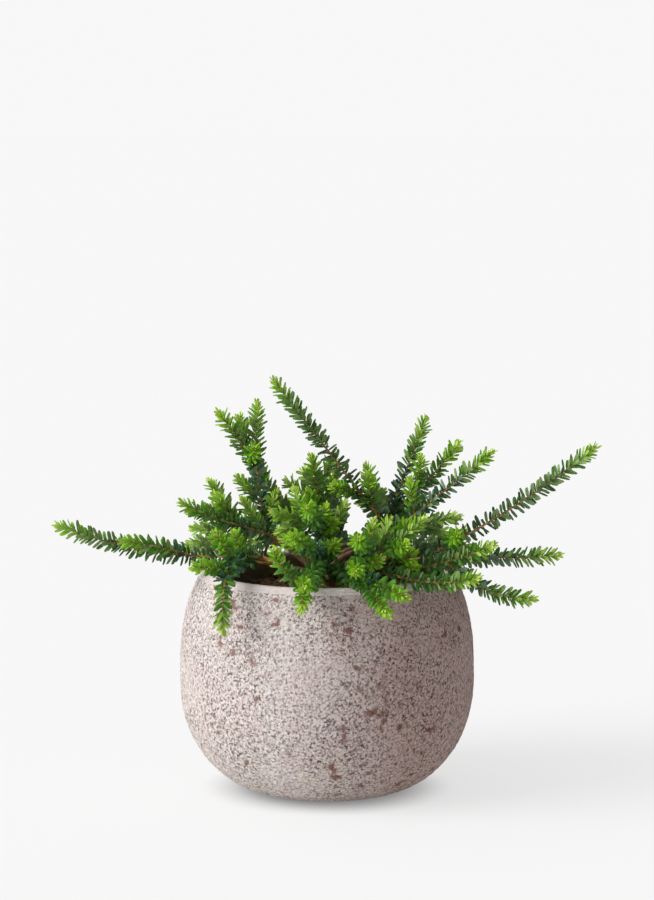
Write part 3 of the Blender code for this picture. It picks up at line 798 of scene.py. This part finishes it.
barkFinish = barkMaterial()
makeStem(barkFinish)
for mass in masses.values():
    growLimbs(mass)
for mass in masses.values():
    rest = [s for other in masses.values() if other is not mass for s in other["shoots"]]
    growFineTwigs(mass, nearestTree(rest))
allShoots = [shoot for mass in masses.values() for shoot in mass["shoots"]]
makeBoughs(barkFinish)
makeTwigs()
print("limbs done:", len(allShoots), "shoots")


# Leaves: narrow, oblong, blunt, crowded round the shoots and turned out and forwards

leafShape = dict(
    stations=((0.0, 0.2), (0.1, 0.68), (0.32, 1.0), (0.74, 1.0), (0.93, 0.74), (1.0, 0.36)),
    crest=0.44, drop=0.34, under=0.12, bends=(-0.05, 0.08, 0.2))
# how leaves vary: degrees of roll and of turn, shares of age and pitch, how many shoots have
# bluish leaves and how many of theirs are, and the room that a leaf keeps from the pot
leafHabit = dict(
    start=0.8, roll=62, turnJitter=5, ageJitter=(0.75, 1.3), pitchJitter=(0.8, 1.2),
    bluishShoots=0.4, bluishLeaves=0.75, room=0.6, middle=0.6)
# age: millimetres from the tip of the shoot up to which a kind grows. pitch: millimetres of
# shoot for each leaf. spread: degrees away from the shoot. top and under: sRGB colours. The
# last kind takes the place of mature and dark leaves on the bluish shoots.
leafKinds = {
    "tip": dict(age=6, pitch=0.42, spread=(12, 46), length=(6.0, 9.0), width=(1.9, 2.5),
                top="#9AC62E", under="#B6CE62"),
    "fresh": dict(age=20, pitch=0.72, spread=(38, 60), length=(9.5, 11.5), width=(2.7, 3.4),
                  top="#79AC26", under="#98B852"),
    "young": dict(age=44, pitch=0.9, spread=(46, 66), length=(10.0, 12.0), width=(3.5, 4.1),
                  top="#538527", under="#83A058"),
    "mature": dict(age=86, pitch=0.95, spread=(52, 72), length=(9.5, 11.8), width=(3.8, 4.5),
                   top="#426C29", under="#77925A"),
    "dark": dict(age=400, pitch=1.25, spread=(55, 92), length=(9.5, 11.8), width=(3.8, 4.5),
                 top="#345626", under="#6A8557"),
    "blue": dict(age=0, pitch=1.0, spread=(50, 78), length=(9.5, 11.8), width=(3.8, 4.5),
                 top="#3A6142", under="#728D70"),
}


def modelLeaf(bend):
    # drawn out of a four-sided ring along +X: blunt at the tip, crested above, edges rolled down
    deselectAll()
    bpy.ops.mesh.primitive_circle_add(
        vertices=4, radius=0.5, fill_type="NGON", rotation=(0, math.pi / 2, 0))
    bpy.ops.object.transform_apply(location=True, rotation=True, scale=True)
    bpy.ops.object.mode_set(mode="EDIT")
    bpy.ops.mesh.select_all(action="SELECT")
    here, wide = leafShape["stations"][0]
    bpy.ops.transform.resize(value=(1, wide, wide), center_override=(0, 0, 0))
    for there, wider in leafShape["stations"][1:]:
        bpy.ops.mesh.extrude_region_move(TRANSFORM_OT_translate={"value": (there - here, 0, 0)})
        grow = wider / wide
        bpy.ops.transform.resize(value=(1, grow, grow), center_override=(there, 0, 0))
        here, wide = there, wider
    bpy.ops.mesh.select_all(action="SELECT")
    bpy.ops.mesh.normals_make_consistent(inside=False)
    bpy.ops.object.mode_set(mode="OBJECT")
    for vertex in bpy.context.active_object.data.vertices:
        x, y, z = vertex.co
        if abs(y) > abs(z):
            vertex.co.z = -leafShape["drop"] * abs(y)  # the two edges
        else:
            vertex.co.z = z * (leafShape["crest"] if z > 0 else leafShape["under"])
        vertex.co.z -= bend * x * x
    return trianglesOf(bpy.context.active_object)


def undersideOf(shape):
    # 1 for each triangle of a leaf that faces down, 0 for the rest
    points, faces = shape
    corners = points[faces]
    normals = np.cross(corners[:, 1] - corners[:, 0], corners[:, 2] - corners[:, 0])
    return (normals[:, 2] < 0).astype(np.int32)


def leafMaterial(kind, side):
    # Leathery evergreen leaf with short silky hairs: a soft dull sheen, paler beneath, and a
    # tone that drifts a little within each kind
    material, tree, shader, place = newMaterial("leaf_" + kind + "_" + side, 0.6, 0.2)
    drift = mottled(tree, place, 14, 2, 0.6, [(0.3, 0.8), (0.7, 1.18)])
    tone = addNode(
        tree, "MixRGB", {"Fac": 1.0, "Color1": hexColour(leafKinds[kind][side])},
        {"Color2": drift}, blend_type="MULTIPLY")
    tree.links.new(tone.outputs["Color"], shader.inputs["Base Color"])
    shader.inputs["Sheen Weight"].default_value = 0.03
    shader.inputs["Sheen Roughness"].default_value = 0.45
    return material


def kindAt(age, bluish):
    # the youngest kind that reaches this age
    for kind, facts in leafKinds.items():
        if age < facts["age"]:
            break
    if bluish and kind in ("mature", "dark"):
        return "blue"
    return kind


def leavesOn(shoot, placings):
    # from the tip backwards, in a golden-angle spiral, as far as the bare foot of the shoot
    turn = rng.uniform(0, 360)
    bluish = rng.random() < leafHabit["bluishShoots"]
    back = leafHabit["start"]
    while back < shoot["length"] - shoot["bare"]:
        age = back * rng.uniform(*leafHabit["ageJitter"])
        kind = kindAt(age, bluish and rng.random() < leafHabit["bluishLeaves"])
        facts = leafKinds[kind]
        root, way = pointAt(shoot, shoot["length"] - back)
        turn += goldenTurn + rng.uniform(-leafHabit["turnJitter"], leafHabit["turnJitter"])
        outward = outwardAt(turn, way)
        low, high = facts["spread"]
        opened = min(back / facts["age"], 1) if kind == "tip" else rng.random()
        spread = math.radians(low + (high - low) * opened)
        direction = (way * math.cos(spread) + outward * math.sin(spread)).normalized()
        upper = way * math.sin(spread) - outward * math.cos(spread)
        length = rng.uniform(*facts["length"])
        width = rng.uniform(*facts["width"])
        back += facts["pitch"] * rng.uniform(*leafHabit["pitchJitter"])
        end = root + direction * length
        middle = root + direction * length * leafHabit["middle"]
        if not (clearOfPot(end, leafHabit["room"]) and clearOfPot(middle, leafHabit["room"])):
            continue
        axes = Matrix((direction, upper.cross(direction), upper)).transposed().to_4x4()
        roll = math.radians(rng.uniform(-leafHabit["roll"], leafHabit["roll"]))
        size = Matrix.Diagonal((length * mm, width * mm, width * mm, 1))
        seat = Matrix.Translation(root * mm) @ axes @ Matrix.Rotation(roll, 4, "X") @ size
        placings[kind].append((rng.randrange(len(leafShape["bends"])), seat))


def makeLeaves():
    shapes = [modelLeaf(bend) for bend in leafShape["bends"]]
    placings = {kind: [] for kind in leafKinds}
    for shoot in allShoots:
        leavesOn(shoot, placings)
    for kind, found in placings.items():
        parts = []
        sides = []
        for i, shape in enumerate(shapes):
            seats = [seat for chosen, seat in found if chosen == i]
            if seats:
                parts.append(copiesOf(shape, seats))
                sides.append(np.tile(undersideOf(shape), len(seats)))
        piece = joinedMesh("leaves_" + kind, parts)
        placed(piece, leafMaterial(kind, "top"), foliageNodes)
        piece.data.materials.append(leafMaterial(kind, "under"))
        piece.data.polygons.foreach_set("material_index", np.concatenate(sides))
        shadeByAngle(piece, 75)
        print("leaves", kind, len(found), "triangles", len(piece.data.polygons))


makeLeaves()
print("leaves done")


# Buds: small hairy clusters in the middle of each tuft

buds = dict(count=(4, 7), length=(1.8, 2.8), width=(0.9, 1.3), spread=(8, 34), ahead=(0.2, 2.4))


def budMaterial():
    # Flower buds in silky hair: dull pinkish beige with a soft pale edge
    material, tree, shader, place = newMaterial("bud_silky", 0.8, 0.3)
    tone = mottled(tree, place, 2, 3, 0.6, [(0.3, "#B98B76"), (0.7, "#D9BFA2")])
    tree.links.new(tone, shader.inputs["Base Color"])
    shader.inputs["Sheen Weight"].default_value = 0.6
    return material


def makeBuds():
    deselectAll()
    bpy.ops.mesh.primitive_uv_sphere_add(segments=6, ring_count=4, radius=0.5)
    shape = trianglesOf(bpy.context.active_object)
    seats = []
    for shoot in allShoots:
        tip, way = pointAt(shoot, shoot["length"])
        for i in range(rng.randint(*buds["count"])):
            outward = outwardAt(i * goldenTurn, way)
            spread = math.radians(rng.uniform(*buds["spread"]))
            direction = way * math.cos(spread) + outward * math.sin(spread)
            width = rng.uniform(*buds["width"]) * mm
            length = rng.uniform(*buds["length"]) * mm
            at = (tip + direction * rng.uniform(*buds["ahead"])) * mm
            turned = direction.to_track_quat("Z", "Y").to_matrix().to_4x4()
            size = Matrix.Diagonal((width, width, length, 1))
            seats.append(Matrix.Translation(at) @ turned @ size)
    piece = joinedMesh("silky_buds", [copiesOf(shape, seats)])
    piece.data.shade_smooth()
    placed(piece, budMaterial(), foliageNodes)


makeBuds()
print("buds done")


# Floor, light and camera

# the floor glows a little by itself, painted light so that the shadow stays faint, and glows less
# beside the pot's foot, which paints a contact shadow there; the light from all round falls off
# from left to right
studio = dict(
    floorSize=400, floorSides=64, floorTone="#848484", floorGlow=0.673, footShadowGlow=0.2,
    glowFrom=(0.055, 0.12), seen=0.935, lightLeft=1.08, lightRight=0.26,
    keyFrom=(-2.4, -0.8, 1.6), keySoftness=40, keyStrength=2.7)
# 2.5 m in front and 0.604 m up, tilted down to look at the pot's mouth from just above it
view = dict(at=(0, -2.5, 0.604), down=6.66, focalPixels=2763, tallPixels=900, sensor=36)


def makeFloor():
    deselectAll()
    bpy.ops.mesh.primitive_circle_add(
        vertices=studio["floorSides"], radius=studio["floorSize"] / 2, fill_type="NGON")
    floor = bpy.context.active_object
    floor.name = "floor"
    # the floor is self-lit: its glow is painted light that lifts the pot's shadow
    material, tree, shader, place = newMaterial("paper_white_self_lit", 1.0, 0.0)
    shader.inputs["Base Color"].default_value = hexColour(studio["floorTone"])
    shader.inputs["Emission Color"].default_value = (1, 1, 1, 1)
    away = addNode(tree, "VectorMath", links={0: place}, operation="LENGTH")
    near, far = studio["glowFrom"]
    # less glow within reach of the pot's foot: a painted contact shadow round it
    glow = addNode(
        tree, "MapRange",
        {"From Min": near, "From Max": far, "To Min": studio["footShadowGlow"],
         "To Max": studio["floorGlow"]},
        {"Value": away.outputs["Value"]}, interpolation_type="SMOOTHSTEP")
    tree.links.new(glow.outputs["Result"], shader.inputs["Emission Strength"])
    floor.data.materials.append(material)


def makeLight():
    key = bpy.data.lights.new("key", "SUN")
    key.angle = math.radians(studio["keySoftness"])
    key.energy = studio["keyStrength"]
    lamp = bpy.data.objects.new("key", key)
    lamp.location = studio["keyFrom"]
    lamp.rotation_euler = (-Vector(studio["keyFrom"])).to_track_quat("-Z", "Y").to_euler()
    bpy.context.scene.collection.objects.link(lamp)


def makeWorld():
    world = bpy.data.worlds.new("studio")
    bpy.context.scene.world = world
    world.use_nodes = True
    tree = world.node_tree
    back = tree.nodes["Background"]
    back.inputs["Color"].default_value = (1, 1, 1, 1)
    way = addNode(tree, "TexCoord").outputs["Generated"]
    across = addNode(tree, "SeparateXYZ", links={"Vector": way}).outputs["X"]
    light = addNode(
        tree, "MapRange",
        {"From Min": -1.0, "To Min": studio["lightLeft"], "To Max": studio["lightRight"]},
        {"Value": across})
    seen = addNode(tree, "LightPath").outputs["Is Camera Ray"]
    level = addNode(
        tree, "MapRange", {"To Max": studio["seen"]},
        {"Value": seen, "To Min": light.outputs["Result"]})
    tree.links.new(level.outputs["Result"], back.inputs["Strength"])
    bpy.context.scene.view_settings.view_transform = "Standard"


def makeCamera():
    data = bpy.data.cameras.new("camera")
    data.sensor_fit = "VERTICAL"
    data.sensor_height = view["sensor"]
    data.lens = view["focalPixels"] / view["tallPixels"] * view["sensor"]
    camera = bpy.data.objects.new("camera", data)
    camera.location = view["at"]
    camera.rotation_euler = (math.radians(90 - view["down"]), 0, 0)
    bpy.context.scene.collection.objects.link(camera)
    bpy.context.scene.camera = camera


makeFloor()
makeLight()
makeWorld()
makeCamera()
print("studio done")
